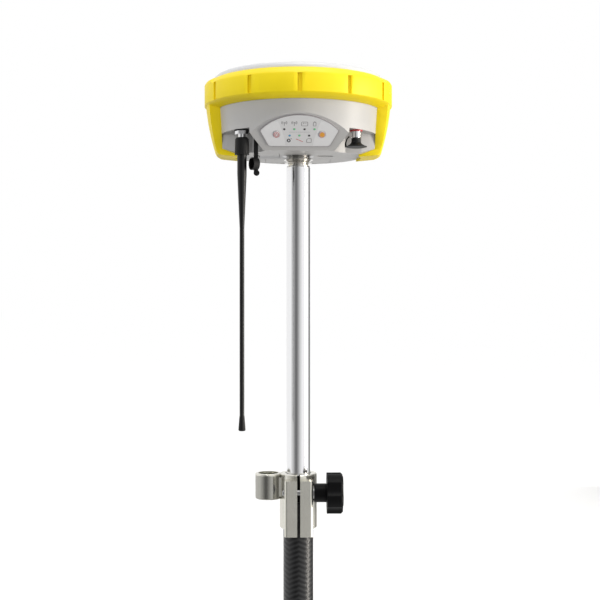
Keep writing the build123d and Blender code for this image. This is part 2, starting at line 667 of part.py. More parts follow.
with BuildPart() as battery_hinge_pin:
    with BuildSketch(Plane.YZ.offset(-21)):
        with Locations((BATTERY_PIN_Y, head(PIN_H))):
            Circle(PIN_R)
    extrude(amount=42)
finish(battery_hinge_pin, "battery_hinge_pin")

with BuildPart() as card_door:
    with BuildSketch(Plane.XY.offset(head(0))):
        card_x0, card_x1 = CARD_PIN_X + DOOR_BEYOND, CARD_X1 - CLEAR
        with Locations(((card_x0 + card_x1) / 2, (CARD_Y0 + CARD_Y1) / 2)):
            Rectangle(card_x1 - card_x0, CARD_Y1 - CARD_Y0 - 2 * CLEAR)
    extrude(amount=DOOR_THICK)
    fillet(card_door.edges().filter_by(Axis.Z), 1.0)
    with BuildSketch(Plane.XY.offset(head(PIN_H - 1.4))):
        with Locations((CARD_PIN_X + 2.5, CARD_SLOT_Y)):
            Rectangle(5.0, 12)
    extrude(amount=DOOR_THICK - PIN_H + 1.4)
    with BuildSketch(Plane.XZ.offset(-(CARD_SLOT_Y + 6))):
        with Locations((CARD_PIN_X, head(PIN_H))):
            Circle(KNUCKLE_R)
    extrude(amount=12)
    with BuildSketch(Plane.XZ.offset(-(CARD_SLOT_Y + 8))):
        with Locations((CARD_PIN_X, head(PIN_H))):
            Circle(PIN_R + FIT)
    extrude(amount=16, mode=Mode.SUBTRACT)
finish(card_door, "card_door")

with BuildPart() as card_hinge_pin:
    with BuildSketch(Plane.XZ.offset(-(CARD_SLOT_Y + 11))):
        with Locations((CARD_PIN_X, head(PIN_H))):
            Circle(PIN_R)
    extrude(amount=22)
finish(card_hinge_pin, "card_hinge_pin")

with BuildPart() as card_holder:
    with BuildSketch(Plane.XY.offset(head(CARD_TOP + 1.5))):
        with Locations((CARD_SLOT_X, CARD_SLOT_Y)):
            Rectangle(6.0, 28.0)
            Rectangle(2.5, 24.6, mode=Mode.SUBTRACT)
    extrude(amount=26.0)
finish(card_holder, "card_holder")

with BuildPart() as memory_card:
    with BuildSketch(Plane.YZ.offset(CARD_SLOT_X - 1.05)):
        with Locations((CARD_SLOT_Y, head(5.0 + 16.0))):
            Rectangle(24.0, 32.0)
    extrude(amount=2.1)
    chamfer(memory_card.edges().filter_by(Axis.X).sort_by(Axis.Z)[-1], 3.0)
finish(memory_card, "memory_card")

# =====================================================================
# Receiver: electronics and antenna
# =====================================================================
with BuildPart() as main_board:
    with BuildSketch(Plane.XY.offset(head(BOARD_H))):
        Circle(BOARD_R)
    extrude(amount=1.6)
finish(main_board, "main_board")

with BuildPart() as shield_cans:
    with BuildSketch(Plane.XY.offset(head(BOARD_H + 1.6))):
        with Locations((-24, 12)):
            Rectangle(34, 26)
        with Locations((22, 14)):
            Rectangle(26, 26)
        with Locations((0, -28)):
            Rectangle(30, 18)
    extrude(amount=4.0)
    fillet(shield_cans.edges().filter_by(Axis.Z), 1.0)
finish(shield_cans, "shield_cans")

with BuildPart() as radio_modem:
    with BuildSketch(Plane.XY.offset(head(BAY_TOP + 2.0))):
        with Locations((0, 38)):
            Rectangle(56, 32)
    extrude(amount=7.0)
    fillet(radio_modem.edges().filter_by(Axis.Z), 1.5)
finish(radio_modem, "radio_modem")

with BuildPart() as antenna_spacers:
    with BuildSketch(Plane.XY.offset(head(BOARD_H + 1.6))):
        with Locations(*BOARD_PLACES):
            RegularPolygon(2.8, 6)
    extrude(amount=PLATE_H - BOARD_H - 1.6)
finish(antenna_spacers, "antenna_spacers")

with BuildPart() as ground_plate:
    with BuildSketch(Plane.XY.offset(head(PLATE_H))):
        Circle(BOARD_R)
    extrude(amount=1.0)
finish(ground_plate, "ground_plate")

with BuildPart() as antenna_substrate:
    with BuildSketch(Plane.XY.offset(head(PLATE_H + 1.0))):
        Circle(50.0)
    extrude(amount=8.0)
finish(antenna_substrate, "antenna_substrate")

with BuildPart() as antenna_patch:
    with BuildSketch(Plane.XY.offset(head(PLATE_H + 9.0))):
        Circle(44.0)
    extrude(amount=0.8)
finish(antenna_patch, "antenna_patch")

# =====================================================================
# Receiver: keypad
# =====================================================================
PANEL_T0, PANEL_T1, PANEL_TM = 6.2, 45.6, 26.1      # foot, crown and widest line, up the facet
PANEL_FOOT_X, PANEL_WIDE_X = 30.8, 39.4
STEM_END = -4.0                                      # inner end of the button stems
SWITCH_TOP = -4.7
KEYPAD_BOARD_TOP = -5.5

with BuildPart() as keypad_panel:
    with BuildSketch(FACET):
        with BuildLine():
            Line((-PANEL_FOOT_X, PANEL_T0), (PANEL_FOOT_X, PANEL_T0))
            Line((PANEL_FOOT_X, PANEL_T0), (PANEL_WIDE_X, PANEL_TM))
            ThreePointArc((PANEL_WIDE_X, PANEL_TM), (0, PANEL_T1), (-PANEL_WIDE_X, PANEL_TM))
            Line((-PANEL_WIDE_X, PANEL_TM), (-PANEL_FOOT_X, PANEL_T0))
        make_face()
        fillet(vertices(), 3.0)
        with Locations((-BUTTON_X, BUTTON_T), (BUTTON_X, BUTTON_T)):
            Ellipse(BUTTON_SIZE[0] / 2 + 0.4, BUTTON_SIZE[1] / 2 + 0.4, mode=Mode.SUBTRACT)
        with Locations(*LED_PLACES):
            Circle(LED_R, mode=Mode.SUBTRACT)
    extrude(amount=PANEL_THICK)
finish(keypad_panel, "keypad_panel")

with BuildPart() as keypad_board:
    with BuildSketch(FACET.offset(KEYPAD_BOARD_TOP)):
        with Locations((0, 25.0)):
            RectangleRounded(56.0, 30.0, 2.0)
    extrude(amount=-1.0)
finish(keypad_board, "keypad_board")

with BuildPart() as dome_switches:
    with BuildSketch(FACET.offset(KEYPAD_BOARD_TOP)):
        with Locations((-BUTTON_X, BUTTON_T), (BUTTON_X, BUTTON_T)):
            Circle(2.5)
    extrude(amount=SWITCH_TOP - KEYPAD_BOARD_TOP, taper=25)
finish(dome_switches, "dome_switches")

with BuildPart() as status_leds:
    with BuildSketch(FACET.offset(KEYPAD_BOARD_TOP)):
        with Locations(*LED_PLACES):
            Circle(LED_R)
    extrude(amount=PANEL_THICK + 0.1 - KEYPAD_BOARD_TOP)
finish(status_leds, "status_leds")


def button(x):
    """An oval cap on a round stem that reaches towards the dome switch."""
    with BuildPart() as cap:
        with BuildSketch(FACET.offset(0.7)):
            with Locations((x, BUTTON_T)):
                Ellipse(BUTTON_SIZE[0] / 2, BUTTON_SIZE[1] / 2)
        extrude(amount=1.2)
        fillet(cap.faces().sort_by(Axis.Z)[0].edges(), 0.4)
        with BuildSketch(FACET.offset(STEM_END)):
            with Locations((x, BUTTON_T)):
                Circle(1.7)
        extrude(amount=0.7 - STEM_END)
    return cap


power_button = button(-BUTTON_X)
finish(power_button, "power_button")
function_button = button(BUTTON_X)
finish(function_button, "function_button")

# =====================================================================
# Receiver: data port on the right, whip antenna and its spare cap on the left
# =====================================================================
CEILING_Z = head(POCKET_H)

with BuildPart() as port_ring:
    with BuildSketch(Plane.XY.offset(CEILING_Z - 1.5)):
        with Locations((PORT_X, PORT_Y)):
            Circle(6.5)
            Circle(4.0, mode=Mode.SUBTRACT)
    extrude(amount=1.5)
finish(port_ring, "port_ring")

with BuildPart() as port_shell:
    with BuildSketch(Plane.XY.offset(CEILING_Z - 8.1)):
        with Locations((PORT_X, PORT_Y)):
            Circle(5.0)
    extrude(amount=6.6)
    chamfer(port_shell.faces().sort_by(Axis.Z)[0].edges(), 0.4)
    with BuildSketch(Plane.XY.offset(CEILING_Z - 13.5)):
        with Locations((PORT_X, PORT_Y)):
            Circle(3.7)
    extrude(amount=13.5 + WALL + 4.0)
    with BuildSketch(Plane.XY.offset(CEILING_Z - 13.5)):
        with Locations((PORT_X, PORT_Y)):
            Circle(3.0)
    extrude(amount=4.0, mode=Mode.SUBTRACT)
finish(port_shell, "port_shell")

with BuildPart() as port_pins:
    with BuildSketch(Plane.XY.offset(CEILING_Z - 12.5)):
        with Locations((PORT_X, PORT_Y)):
            with PolarLocations(1.8, 5):
                Circle(0.35)
    extrude(amount=3.0)
finish(port_pins, "port_pins")

with BuildPart() as port_cap:
    with BuildSketch(Plane.XZ):
        with BuildLine():
            Line((0, CEILING_Z - 17.5), (9.6, CEILING_Z - 17.5))
            Polyline((9.6, CEILING_Z - 17.5), (11.0, CEILING_Z - 17.1), (11.0, CEILING_Z - 16.6))
            Spline((11.0, CEILING_Z - 16.6), (7.0, CEILING_Z - 14.7), (4.75, CEILING_Z - 11.0),
                   tangents=[(-1, 0.25), (0, 1)])
            Polyline(
                (4.75, CEILING_Z - 11.0), (4.75, CEILING_Z - 8.4), (3.75, CEILING_Z - 8.4),
                (3.75, CEILING_Z - 14.2), (0, CEILING_Z - 14.2), (0, CEILING_Z - 17.5),
            )
        make_face()
    revolve(axis=Axis.Z)
    # strap that rises from the rim towards the connector
    with BuildSketch(Plane.XZ.offset(-1.6)):
        with BuildLine():
            Line((-11.4, CEILING_Z - 17.4), (-9.4, CEILING_Z - 16.8))
            ThreePointArc((-9.4, CEILING_Z - 16.8), (-9.6, CEILING_Z - 11.6), (-6.6, CEILING_Z - 7.0))
            Line((-6.6, CEILING_Z - 7.0), (-7.6, CEILING_Z - 6.3))
            ThreePointArc((-7.6, CEILING_Z - 6.3), (-10.9, CEILING_Z - 11.2), (-11.4, CEILING_Z - 17.4))
        make_face()
    extrude(amount=3.2)
port_cap.part = port_cap.part.moved(Location((PORT_X, PORT_Y, 0)))
finish(port_cap, "port_cap")

WHIP_X, WHIP_Y = -PORT_X, PORT_Y
JACK_R = 4.0
GRIP_TOP, GRIP_BOTTOM = 583.5, 567.3
ROD_SHOULDER, ROD_THIN = 548.0, 493.0
TIP_TOP, TIP_BOTTOM = 302.0, 287.0

with BuildPart() as whip_jack:
    with BuildSketch(Plane.XY.offset(GRIP_TOP - 5.0)):
        with Locations((WHIP_X, WHIP_Y)):
            Circle(JACK_R)
    extrude(amount=CEILING_Z + WALL + 3.0 - GRIP_TOP + 5.0)
    with BuildSketch(Plane.XY.offset(CEILING_Z - 4.7)):
        with Locations((WHIP_X, WHIP_Y)):
            RegularPolygon(7.5, 6)
            Circle(7.1, mode=Mode.INTERSECT)
    extrude(amount=3.5)
finish(whip_jack, "whip_jack")

with BuildPart() as cap_tether:
    with BuildSketch(Plane.XY.offset(CEILING_Z - 1.2)):
        with Locations((WHIP_X, WHIP_Y)):
            Circle(8.0)
        with Locations((WHIP_X + 8.2, WHIP_Y)):
            Rectangle(16.4, 4.4)
        with Locations((WHIP_X, WHIP_Y)):
            Circle(JACK_R, mode=Mode.SUBTRACT)
    extrude(amount=1.2)
finish(cap_tether, "cap_tether")

STRAP_X = WHIP_X + 14.2
STRAP_TOP = CEILING_Z - 1.2 - CLEAR
STRAP_ROLL_R = 0.9
TAB_Z, TAB_R = 549.1, 3.0          # rounded pull tab at the strap's lower end
CUP_Z, CUP_R, CUP_BORE_R = 558.1, 6.4, 5.2
CUP_DEPTH, CUP_BORE_DEPTH = 6.5, 5.0
CUP_BACK = Plane(origin=(STRAP_X + 1.2, WHIP_Y, CUP_Z), x_dir=(0, 0, 1), z_dir=(-0.875, -0.485, 0))

with BuildPart() as hanging_cap:
    with BuildSketch(Plane.XZ.offset(-(WHIP_Y + 0.6))):
        with Locations((STRAP_X, STRAP_TOP)):
            Rectangle(4.4, STRAP_TOP - TAB_Z, align=(Align.CENTER, Align.MAX))
        with Locations((STRAP_X + 0.6, TAB_Z)):
            Circle(TAB_R)
    extrude(amount=1.2)
    # rolled end that the strap bends about
    with BuildSketch(Plane.YZ.offset(STRAP_X - 2.2)):
        with Locations((WHIP_Y, STRAP_TOP - STRAP_ROLL_R)):
            Circle(STRAP_ROLL_R)
    extrude(amount=4.4)
    # the cap itself, its mouth turned outwards
    with BuildSketch(CUP_BACK):
        Circle(CUP_R)
    extrude(amount=CUP_DEPTH)
    with BuildSketch(CUP_BACK.offset(CUP_DEPTH - CUP_BORE_DEPTH)):
        Circle(CUP_BORE_R)
    extrude(amount=CUP_BORE_DEPTH, mode=Mode.SUBTRACT)
finish(hanging_cap, "hanging_cap")

with BuildPart() as whip_seal:
    with BuildSketch(Plane.XY.offset(GRIP_TOP)):
        with Locations((WHIP_X, WHIP_Y)):
            Circle(6.0)
            Circle(JACK_R + FIT, mode=Mode.SUBTRACT)
    extrude(amount=1.2)
finish(whip_seal, "whip_seal")

with BuildPart() as whip_grip:
    with BuildSketch(Plane.XY.offset(GRIP_BOTTOM)):
        with Locations((WHIP_X, WHIP_Y)):
            Circle(7.4)
    extrude(amount=GRIP_TOP - GRIP_BOTTOM, taper=1.5)
    with BuildSketch(Plane.XY.offset(GRIP_BOTTOM)):
        with Locations((WHIP_X, WHIP_Y)):
            with PolarLocations(8.6, 12):
                Circle(1.5)
    extrude(amount=11.0, mode=Mode.SUBTRACT)
    with BuildSketch(Plane.XY.offset(GRIP_TOP - 5.6)):
        with Locations((WHIP_X, WHIP_Y)):
            Circle(JACK_R + FIT)
    extrude(amount=5.6, mode=Mode.SUBTRACT)
finish(whip_grip, "whip_grip")

with BuildPart() as whip_rod:
    with BuildSketch(Plane.XZ):
        with BuildLine():
            Polyline(
                (0, TIP_TOP), (2.4, TIP_TOP), (2.4, ROD_THIN), (4.82, ROD_SHOULDER), (4.82, GRIP_BOTTOM),
                (0, GRIP_BOTTOM), close=True,
            )
        make_face()
    revolve(axis=Axis.Z)
whip_rod.part = whip_rod.part.moved(Location((WHIP_X, WHIP_Y, 0)))
finish(whip_rod, "whip_rod")

with BuildPart() as whip_tip:
    with BuildSketch(Plane.XZ):
        with BuildLine():
            Polyline((0, TIP_BOTTOM), (2.4, TIP_BOTTOM))
            ThreePointArc((2.4, TIP_BOTTOM), (3.3, TIP_BOTTOM + 0.5), (3.65, TIP_BOTTOM + 1.6))
            Polyline((3.65, TIP_BOTTOM + 1.6), (3.3, TIP_BOTTOM + 6.0), (2.6, TIP_TOP), (0, TIP_TOP), (0, TIP_BOTTOM))
        make_face()
    revolve(axis=Axis.Z)
whip_tip.part = whip_tip.part.moved(Location((WHIP_X, WHIP_Y, 0)))
finish(whip_tip, "whip_tip")
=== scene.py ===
"""Looks of the GNSS receiver on its pole: camera, light, materials and the detailed pieces.

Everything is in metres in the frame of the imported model: +Z up the pole, -Y the keypad side.
"""
import math

import bmesh
import bpy
from mathutils import Matrix, Vector


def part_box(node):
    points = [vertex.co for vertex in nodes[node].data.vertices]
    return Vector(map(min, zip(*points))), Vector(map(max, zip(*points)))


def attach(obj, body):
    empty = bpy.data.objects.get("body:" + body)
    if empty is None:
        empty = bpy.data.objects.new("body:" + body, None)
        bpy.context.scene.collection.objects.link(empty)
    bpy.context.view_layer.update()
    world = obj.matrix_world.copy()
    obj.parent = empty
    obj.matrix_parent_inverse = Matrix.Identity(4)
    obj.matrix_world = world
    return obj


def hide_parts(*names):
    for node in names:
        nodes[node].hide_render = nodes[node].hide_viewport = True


MM = 0.001
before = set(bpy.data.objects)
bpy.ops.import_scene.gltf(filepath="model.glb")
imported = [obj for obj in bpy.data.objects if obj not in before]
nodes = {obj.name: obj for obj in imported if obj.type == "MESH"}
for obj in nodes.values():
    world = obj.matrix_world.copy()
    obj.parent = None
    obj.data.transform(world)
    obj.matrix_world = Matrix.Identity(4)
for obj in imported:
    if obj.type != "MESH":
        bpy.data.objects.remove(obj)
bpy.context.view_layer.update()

# places read from the frame
vial_lo, vial_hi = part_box("level_vial")
BASE_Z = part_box("threaded_insert")[0].z     # underside of the receiver

# the camera's place
EYE_HEIGHT = 420 * MM
EYE_DISTANCE = 1.2
EYE_TURN = math.radians(-1.0)               # about the pole, from straight in front
EYE_ASIDE = 1.8 * MM
LENS = 67.9

# the light
WARM = (1.0, 0.94, 0.85)
HEAD = Vector((0, 0, BASE_Z + 0.03))        # what the lights aim at
FLOOR_REACH = 30
SHEET_REACH, SHEET_Z = 0.6, -0.02


# =====================================================================
# Camera, light and floor
# =====================================================================
def make_camera():
    """A level camera in front of the pole, turned a little about it."""
    back = Vector((math.sin(EYE_TURN), -math.cos(EYE_TURN), 0))
    right = Vector((math.cos(EYE_TURN), math.sin(EYE_TURN), 0))
    data = bpy.data.cameras.new("camera")
    data.sensor_width = 36.0
    data.lens = LENS
    data.clip_start, data.clip_end = 0.01, 100.0
    camera = bpy.data.objects.new("camera", data)
    camera.location = back * EYE_DISTANCE + right * EYE_ASIDE + Vector((0, 0, EYE_HEIGHT))
    camera.rotation_mode = "QUATERNION"
    camera.rotation_quaternion = (-back).to_track_quat("-Z", "Y")
    bpy.context.scene.collection.objects.link(camera)
    bpy.context.scene.camera = camera


def area_light(name, place, target, size, power, colour=(1, 1, 1)):
    data = bpy.data.lights.new(name, "AREA")
    data.shape = "RECTANGLE"
    data.size, data.size_y = size
    data.energy = power
    data.color = colour
    light = bpy.data.objects.new(name, data)
    light.location = place
    light.rotation_mode = "QUATERNION"
    light.rotation_quaternion = (Vector(target) - Vector(place)).to_track_quat("-Z", "Y")
    bpy.context.scene.collection.objects.link(light)
    return light


def level_square(name, reach, height, brightness):
    """A matt level square, as far as reach from the pole on each side."""
    mesh = bpy.data.meshes.new(name)
    corners = [(x * reach, y * reach, height) for x, y in ((-1, -1), (1, -1), (1, 1), (-1, 1))]
    mesh.from_pydata(corners, [], [(0, 1, 2, 3)])
    mesh.materials.append(plain(name, (brightness,) * 3, roughness=1.0, mottle=0.0, bump=0.0, specular=0.0))
    square = bpy.data.objects.new(name, mesh)
    bpy.context.scene.collection.objects.link(square)
    square.visible_glossy = False
    square.visible_shadow = False
    return square


def direction(azimuth):
    """The level direction at an azimuth in degrees: 0 is towards the camera, 90 to its right."""
    a = math.radians(azimuth)
    return Vector((math.sin(a), -math.cos(a), 0))


def reflector(name, stops, distance=1.5, low=-1.6, high=2.2):
    """A curved screen, unseen by the camera; stops are (azimuth, brightness) pairs along it."""
    material, tree, shader, add = new_material(name)
    first, last = stops[0][0], stops[-1][0]
    place = add("ShaderNodeSeparateXYZ", {"Vector": add("ShaderNodeTexCoord").outputs["Object"]})
    angle = add("ShaderNodeMath", {0: place.outputs["X"],
                                   1: add("ShaderNodeMath", {0: place.outputs["Y"], 1: -1.0},
                                          operation="MULTIPLY").outputs[0]}, operation="ARCTAN2")
    along = add("ShaderNodeMapRange", {"Value": angle.outputs[0], "From Min": math.radians(first),
                                       "From Max": math.radians(last)})
    ramp = add("ShaderNodeValToRGB", {"Fac": along.outputs["Result"]})
    elements = ramp.color_ramp.elements
    while len(elements) < len(stops):
        elements.new(0.5)
    for element, (azimuth, level) in zip(elements, stops):
        element.position = (azimuth - first) / (last - first)
        element.color = (level, level, level, 1)
    tree.links.new(ramp.outputs["Color"], shader.inputs["Emission Color"])
    shader.inputs["Emission Strength"].default_value = 1.0
    shader.inputs["Base Color"].default_value = (0, 0, 0, 1)
    shader.inputs["Specular IOR Level"].default_value = 0.0
    mesh = bpy.data.meshes.new(name)
    steps = 24
    points = []
    for i in range(steps + 1):
        foot = direction(first + (last - first) * i / steps) * distance
        points += [(foot.x, foot.y, low), (foot.x, foot.y, high)]
    mesh.from_pydata(points, [], [(2 * i, 2 * i + 2, 2 * i + 3, 2 * i + 1) for i in range(steps)])
    mesh.materials.append(material)
    screen = bpy.data.objects.new(name, mesh)
    bpy.context.scene.collection.objects.link(screen)
    screen.visible_camera = False
    screen.visible_shadow = False


def make_surroundings():
    """White light tent: bright world and floor, a warm strip light on the right, and grey screens
    behind the camera and behind the object on the right, which shape the metal."""
    world = bpy.data.worlds.new("tent")
    bpy.context.scene.world = world
    world.use_nodes = True
    background = world.node_tree.nodes["Background"]
    background.inputs["Color"].default_value = (1, 1, 1, 1)
    background.inputs["Strength"].default_value = 1.0

    floor = level_square("floor", FLOOR_REACH, 0.0, 1.0)
    floor.visible_diffuse = False
    # an unseen dark sheet takes the place of the light that a white floor would throw upwards
    sheet = level_square("sheet", SHEET_REACH, SHEET_Z, 0.06)
    sheet.visible_camera = False

    key_place = direction(80) * 1.9 + Vector((0, 0, 0.4))
    fill_place = direction(-25) * 1.6 + Vector((0, 0, 0.75))
    area_light("key", key_place, HEAD, size=(0.35, 2.2), power=42, colour=WARM)
    area_light("top", (0.1, -0.2, 2.0), HEAD, size=(0.8, 0.8), power=9)
    fill = area_light("fill", fill_place, HEAD, size=(0.8, 0.8), power=8)
    fill.visible_glossy = False
    reflector("screen_front", [(-76, 1.0), (-70, 0.8), (-53, 0.6), (-40, 0.36), (-30, 0.2), (-20, 0.14),
                               (-9, 0.24), (2, 0.42), (18, 0.74), (38, 1.0)])
    reflector("screen_back", [(112, 1.0), (118, 0.22), (150, 0.22), (156, 1.0)])
    bpy.context.scene.view_settings.view_transform = "Standard"


# =====================================================================
# Materials
# =====================================================================
def new_material(name):
    """An empty material: its tree, its shader, and a function that adds and wires a node."""
    material = bpy.data.materials.new(name)
    material.use_nodes = True
    tree = material.node_tree
    shader = tree.nodes["Principled BSDF"]

    def add(kind, inputs=None, **settings):
        node = tree.nodes.new(kind)
        for key, value in settings.items():
            setattr(node, key, value)
        for key, value in (inputs or {}).items():
            if isinstance(value, bpy.types.NodeSocket):
                tree.links.new(value, node.inputs[key])
            else:
                node.inputs[key].default_value = value
        return node

    return material, tree, shader, add


def srgb(red, green, blue):
    """Display values of 0 to 255 as a linear colour."""
    linear = [((v / 255 + 0.055) / 1.055) ** 2.4 if v > 10 else v / 255 / 12.92 for v in (red, green, blue)]
    return (*linear, 1)


def shaded(colour, factor):
    return tuple(min(1.0, v * factor) for v in colour[:3]) + (1,)


def plain(name, colour, roughness=0.5, metallic=0.0, mottle=0.06, grain=900.0, bump=0.02, specular=0.5,
          wear=0.0):
    """A moulded or cast surface: slight colour mottle, uneven gloss and a fine grain."""
    material, tree, shader, add = new_material(name)
    colour = tuple(colour[:3]) + (1,)
    place = add("ShaderNodeTexCoord").outputs["Object"]
    cloud = add("ShaderNodeTexNoise", {"Vector": place, "Scale": 45.0, "Detail": 3.0})
    fine = add("ShaderNodeTexNoise", {"Vector": place, "Scale": grain, "Detail": 2.0})
    tone = add("ShaderNodeValToRGB", {"Fac": cloud.outputs["Fac"]})
    tone.color_ramp.elements[0].color = shaded(colour, 1 - mottle)
    tone.color_ramp.elements[0].position = 0.3
    tone.color_ramp.elements[1].color = shaded(colour, 1 + mottle)
    tone.color_ramp.elements[1].position = 0.7
    base = tone.outputs["Color"]
    if wear:
        edge = add("ShaderNodeNewGeometry").outputs["Pointiness"]
        mask = add("ShaderNodeMapRange", {"Value": edge, "From Min": 0.52, "From Max": 0.58,
                                          "To Min": 0.0, "To Max": wear})
        worn = add("ShaderNodeMix", {"Factor": mask.outputs["Result"]}, data_type="RGBA")
        tree.links.new(base, worn.inputs["A"])
        worn.inputs["B"].default_value = shaded(colour, 1.25)
        base = worn.outputs["Result"]
    tree.links.new(base, shader.inputs["Base Color"])
    gloss = add("ShaderNodeMapRange", {"Value": cloud.outputs["Fac"], "To Min": max(0.02, roughness - 0.05),
                                       "To Max": roughness + 0.05})
    tree.links.new(gloss.outputs["Result"], shader.inputs["Roughness"])
    relief = add("ShaderNodeBump", {"Height": fine.outputs["Fac"], "Strength": 0.5, "Distance": bump * MM})
    tree.links.new(relief.outputs["Normal"], shader.inputs["Normal"])
    shader.inputs["Metallic"].default_value = metallic
    shader.inputs["Specular IOR Level"].default_value = specular
    return material


def polished_tube(name, colour, roughness=0.1):
    """Drawn aluminium: mirror-like, with faint lines along the tube."""
    material, tree, shader, add = new_material(name)
    place = add("ShaderNodeTexCoord").outputs["Object"]
    stretched = add("ShaderNodeMapping", {"Vector": place, "Scale": (1500.0, 1500.0, 6.0)})
    lines = add("ShaderNodeTexNoise", {"Vector": stretched.outputs["Vector"], "Scale": 1.0, "Detail": 2.0})
    gloss = add("ShaderNodeMapRange", {"Value": lines.outputs["Fac"], "To Min": roughness - 0.03,
                                       "To Max": roughness + 0.06})
    tree.links.new(gloss.outputs["Result"], shader.inputs["Roughness"])
    tone = add("ShaderNodeValToRGB", {"Fac": lines.outputs["Fac"]})
    tone.color_ramp.elements[0].color = shaded(colour, 0.96)
    tone.color_ramp.elements[1].color = shaded(colour, 1.02)
    tree.links.new(tone.outputs["Color"], shader.inputs["Base Color"])
    shader.inputs["Metallic"].default_value = 1.0
    return material


def turned_metal(name, colour, roughness=0.18, pitch=0.25 * MM):
    """Lathe-turned metal: fine rings around the vertical axis."""
    material, tree, shader, add = new_material(name)
    place = add("ShaderNodeTexCoord").outputs["Object"]
    rings = add("ShaderNodeTexWave", {"Vector": place, "Scale": 0.3 / pitch, "Distortion": 0.0},
                bands_direction="Z")
    cloud = add("ShaderNodeTexNoise", {"Vector": place, "Scale": 300.0})
    relief = add("ShaderNodeBump", {"Height": rings.outputs["Fac"], "Strength": 0.25, "Distance": 0.01 * MM})
    tree.links.new(relief.outputs["Normal"], shader.inputs["Normal"])
    gloss = add("ShaderNodeMapRange", {"Value": cloud.outputs["Fac"], "To Min": roughness - 0.05,
                                       "To Max": roughness + 0.08})
    tree.links.new(gloss.outputs["Result"], shader.inputs["Roughness"])
    tone = add("ShaderNodeValToRGB", {"Fac": cloud.outputs["Fac"]})
    tone.color_ramp.elements[0].color = shaded(colour, 0.94)
    tone.color_ramp.elements[1].color = shaded(colour, 1.03)
    tree.links.new(tone.outputs["Color"], shader.inputs["Base Color"])
    shader.inputs["Metallic"].default_value = 1.0
    return material


def braided_carbon(name, tow=5.1 * MM, columns=10):
    """Carbon braid under clear lacquer: columns of slanted tows that lean left and right in turn, coloured
    with painted shade in the valleys between tows and a painted sheen on their crowns.
    """
    material, tree, shader, add = new_material(name)

    def maths(operation, first, second=None):
        inputs = {0: first}
        if second is not None:
            inputs[1] = second
        return add("ShaderNodeMath", inputs, operation=operation).outputs[0]

    place = add("ShaderNodeTexCoord").outputs["Object"]
    axes = add("ShaderNodeSeparateXYZ", {"Vector": place})
    angle = maths("ARCTAN2", axes.outputs["X"], axes.outputs["Y"])
    across = maths("MULTIPLY", angle, columns / (2 * math.pi))
    lean = maths("PINGPONG", maths("ADD", across, 101.0), 1.0)
    along = maths("ADD", maths("DIVIDE", axes.outputs["Z"], tow), maths("MULTIPLY", lean, 0.9))
    tow_wave = maths("SINE", maths("MULTIPLY", along, 2 * math.pi))
    fibre_place = add("ShaderNodeCombineXYZ", {"X": maths("MULTIPLY", along, 30.0), "Y": across,
                                               "Z": maths("FLOOR", across)})
    fibres = add("ShaderNodeTexNoise", {"Vector": fibre_place.outputs["Vector"], "Scale": 1.0, "Detail": 2.0})
    height = maths("ADD", maths("MULTIPLY", tow_wave, 0.5), maths("MULTIPLY", fibres.outputs["Fac"], 0.35))
    # the base colour follows the weave's height. It carries the braid's own tow and fibre pattern, plus
    # painted shade darkening the valleys between tows and a painted sheen lightening the tow crowns.
    tone = add("ShaderNodeValToRGB", {"Fac": add("ShaderNodeMapRange", {"Value": height, "From Min": -0.4,
                                                                        "From Max": 0.75}).outputs["Result"]})
    tone.color_ramp.elements[0].color = srgb(4, 4, 5)
    tone.color_ramp.elements[1].color = srgb(48, 48, 49)
    tree.links.new(tone.outputs["Color"], shader.inputs["Base Color"])
    relief = add("ShaderNodeBump", {"Height": height, "Strength": 0.8, "Distance": 0.22 * MM})
    tree.links.new(relief.outputs["Normal"], shader.inputs["Normal"])
    shader.inputs["Roughness"].default_value = 0.32
    shader.inputs["Specular IOR Level"].default_value = 0.4
    shader.inputs["Coat Weight"].default_value = 0.05
    shader.inputs["Coat Roughness"].default_value = 0.15
    return material


def clear(name, colour, roughness=0.03):
    """Clear tinted plastic or liquid, with a faint cloud in its tint."""
    material, tree, shader, add = new_material(name)
    place = add("ShaderNodeTexCoord").outputs["Object"]
    cloud = add("ShaderNodeTexNoise", {"Vector": place, "Scale": 60.0})
    tone = add("ShaderNodeValToRGB", {"Fac": cloud.outputs["Fac"]})
    tone.color_ramp.elements[0].color = shaded(colour, 0.95)
    tone.color_ramp.elements[1].color = shaded(colour, 1.05)
    tree.links.new(tone.outputs["Color"], shader.inputs["Base Color"])
    shader.inputs["Roughness"].default_value = roughness
    shader.inputs["Transmission Weight"].default_value = 0.85
    shader.inputs["IOR"].default_value = 1.45
    return material


def lamp(name, colour, glow):
    """A light pipe's lens, lit from behind."""
    material = plain(name, colour, roughness=0.2, bump=0.0)
    shader = material.node_tree.nodes["Principled BSDF"]
    shader.inputs["Emission Color"].default_value = tuple(colour[:3]) + (1,)
    shader.inputs["Emission Strength"].default_value = glow
    return material


